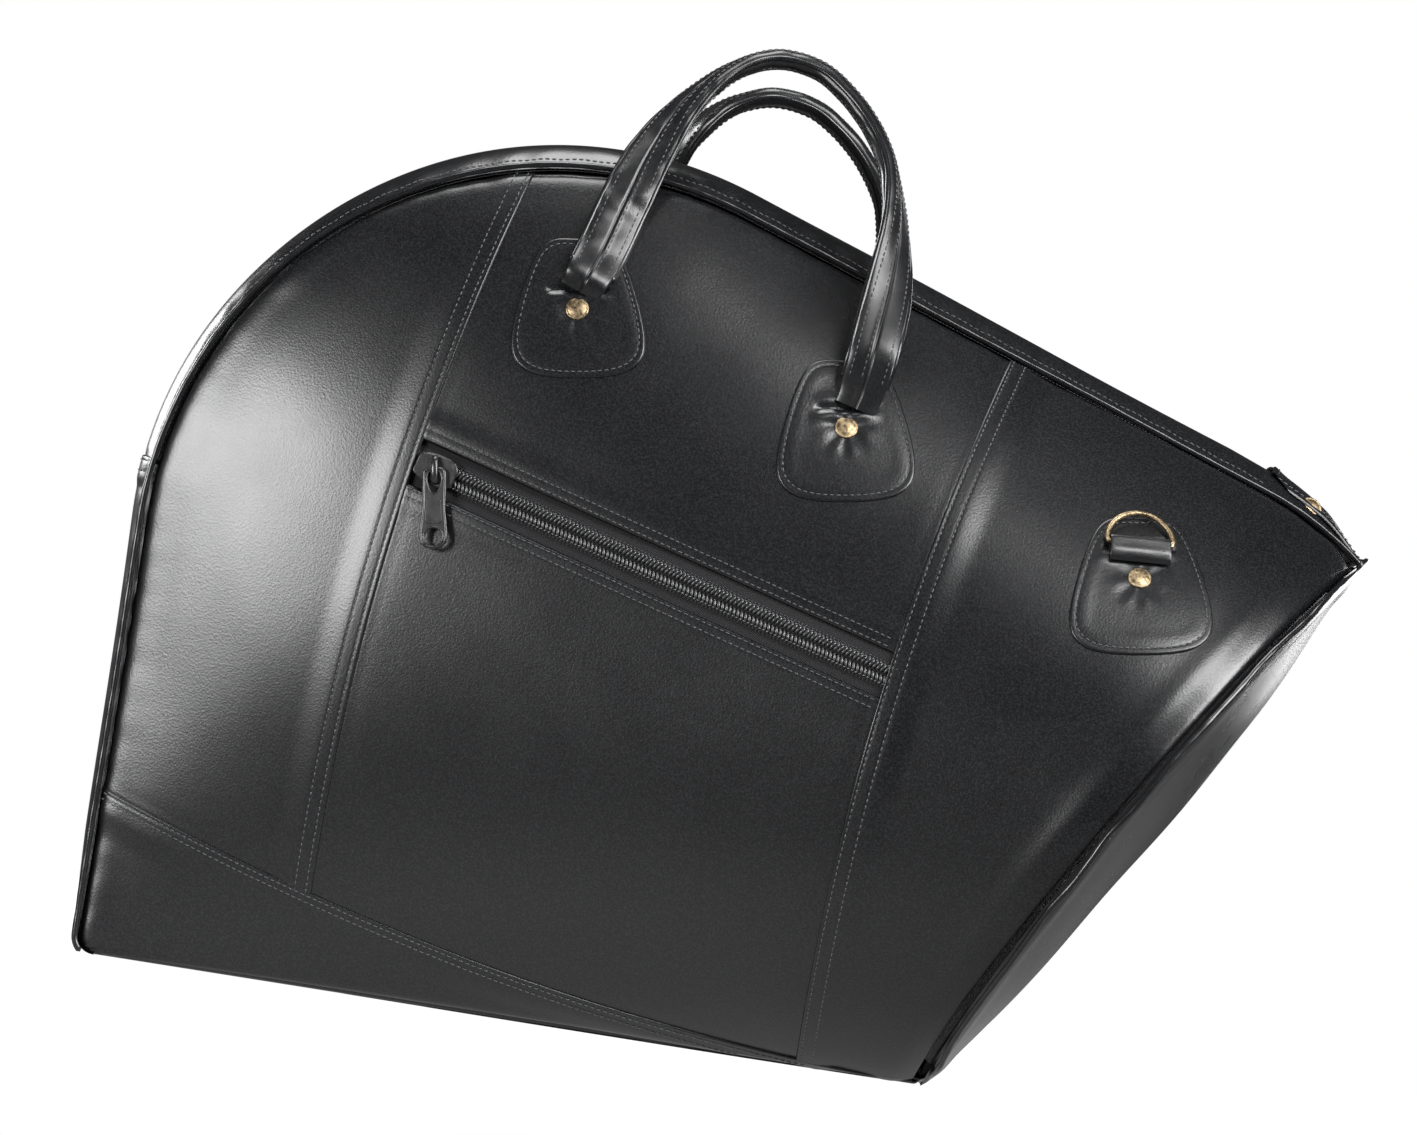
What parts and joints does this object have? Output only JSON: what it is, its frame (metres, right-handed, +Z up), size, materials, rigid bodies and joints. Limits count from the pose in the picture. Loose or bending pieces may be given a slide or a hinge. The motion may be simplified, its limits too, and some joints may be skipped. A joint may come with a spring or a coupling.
{
  "type": "horn gig bag",
  "caption": "Wedge-shaped black leather gig bag for a fixed-bell horn, with zipped pocket, two swinging handles, D-rings and a zipped gusset.",
  "frame": {"origin": "middle of the flat base underside, on the surface that the bag stands on", "axes": "+X from the narrow coil end to the round bell end, +Y from the front, with the pocket zip, to the back, +Z up"},
  "size_m": [0.6015, 0.3384, 0.4843],
  "materials": {
    "black_leather": "satin smooth black hide with a faint fine grain",
    "handle_leather": "glossy thin black hide, creased",
    "piping_leather": "glossy black hide over cord",
    "zip_coil": "black nylon coil",
    "zip_tape": "black twill tape",
    "black_metal": "black enamel, worn at the edges",
    "antique_brass": "aged brass, brushed and spotted",
    "foam": "grey foam padding",
    "lining_cloth": "dark brushed nylon lining"
  },
  "bodies": {
    "bag": {"back_bell_panel": "black_leather", "back_centre_panel": "black_leather", "back_coil_panel": "black_leather", "back_foam": "foam", "back_left_patch": "black_leather", "back_lining": "lining_cloth", "back_piping": "piping_leather", "back_right_patch": "black_leather", "back_ring_loop": "black_leather", "back_ring_patch": "black_leather", "bell_cap": "black_leather", "bell_foam": "foam", "bell_piping": "piping_leather", "bottom_back_wrap": "black_leather", "bottom_front_wrap": "black_leather", "bottom_panel": "black_leather", "front_bell_panel": "black_leather", "front_coil_panel": "black_leather", "front_foam": "foam", "front_left_patch": "black_leather", "front_lining": "lining_cloth", "front_lower_panel": "black_leather", "front_piping": "piping_leather", "front_right_patch": "black_leather", "front_ring_loop": "black_leather", "front_ring_patch": "black_leather", "front_upper_panel": "black_leather", "gusset_back_band": "black_leather", "gusset_front_band": "black_leather", "gusset_plain_band": "black_leather", "handle_rivets": "antique_brass", "main_zip_chain": "zip_coil", "main_zip_tape": "zip_tape", "pocket_bag": "lining_cloth", "pocket_zip_chain": "zip_coil", "pocket_zip_tape": "zip_tape", "ring_rivets": "antique_brass", "zip_end_tab": "black_leather", "zip_tab_rivets": "antique_brass"},
    "front_handle_strap": {"front_handle": "handle_leather"},
    "back_handle_strap": {"back_handle": "handle_leather"},
    "front_ring": {"front_ring_d_ring": "antique_brass"},
    "back_ring": {"back_ring_d_ring": "antique_brass"},
    "pocket_zip_slider": {"pocket_slider": "black_metal"},
    "pocket_zip_pull": {"pocket_pull": "black_metal"},
    "main_zip_slider": {"main_slider": "black_metal"},
    "main_zip_pull": {"main_pull": "black_metal"}
  },
  "joints": [
    {"name": "front_handle_swing", "type": "hinge", "parent": "bag", "child": "front_handle_strap", "pos_m": [-0.01323, -0.09444, 0.35874], "axis": [0.9679, -0.0909, -0.2342], "range_deg": [0, 110]},
    {"name": "back_handle_swing", "type": "hinge", "parent": "bag", "child": "back_handle_strap", "pos_m": [-0.01323, 0.09444, 0.35874], "axis": [-0.9679, -0.0909, 0.2342], "range_deg": [0, 110]},
    {"name": "front_ring_swing", "type": "hinge", "parent": "bag", "child": "front_ring", "pos_m": [0.26855, -0.12051, 0.2756], "axis": [0.9882, 0.1429, 0.0551], "range_deg": [0, 150]},
    {"name": "back_ring_swing", "type": "hinge", "parent": "bag", "child": "back_ring", "pos_m": [-0.14706, 0.07968, 0.27328], "axis": [-0.9425, -0.3066, 0.1329], "range_deg": [0, 150]},
    {"name": "pocket_slide", "type": "slide", "parent": "bag", "child": "pocket_zip_slider", "axis": [0.9469, -0.1878, -0.2611], "range_m": [0, 0.2]},
    {"name": "pocket_pull_swing", "type": "hinge", "parent": "pocket_zip_slider", "child": "pocket_zip_pull", "pos_m": [-0.07019, -0.10129, 0.25744], "axis": [-0.9763, 0.1514, -0.1546], "range_deg": [0, 150]},
    {"name": "main_slide", "type": "slide", "parent": "bag", "child": "main_zip_slider", "axis": [-0.9449, 0, 0.3272], "range_m": [0, 0.24]},
    {"name": "main_pull_swing", "type": "hinge", "parent": "main_zip_slider", "child": "main_zip_pull", "pos_m": [0.31811, 0, 0.32287], "axis": [0, 1, 0], "range_deg": [0, 150]}
  ]
}
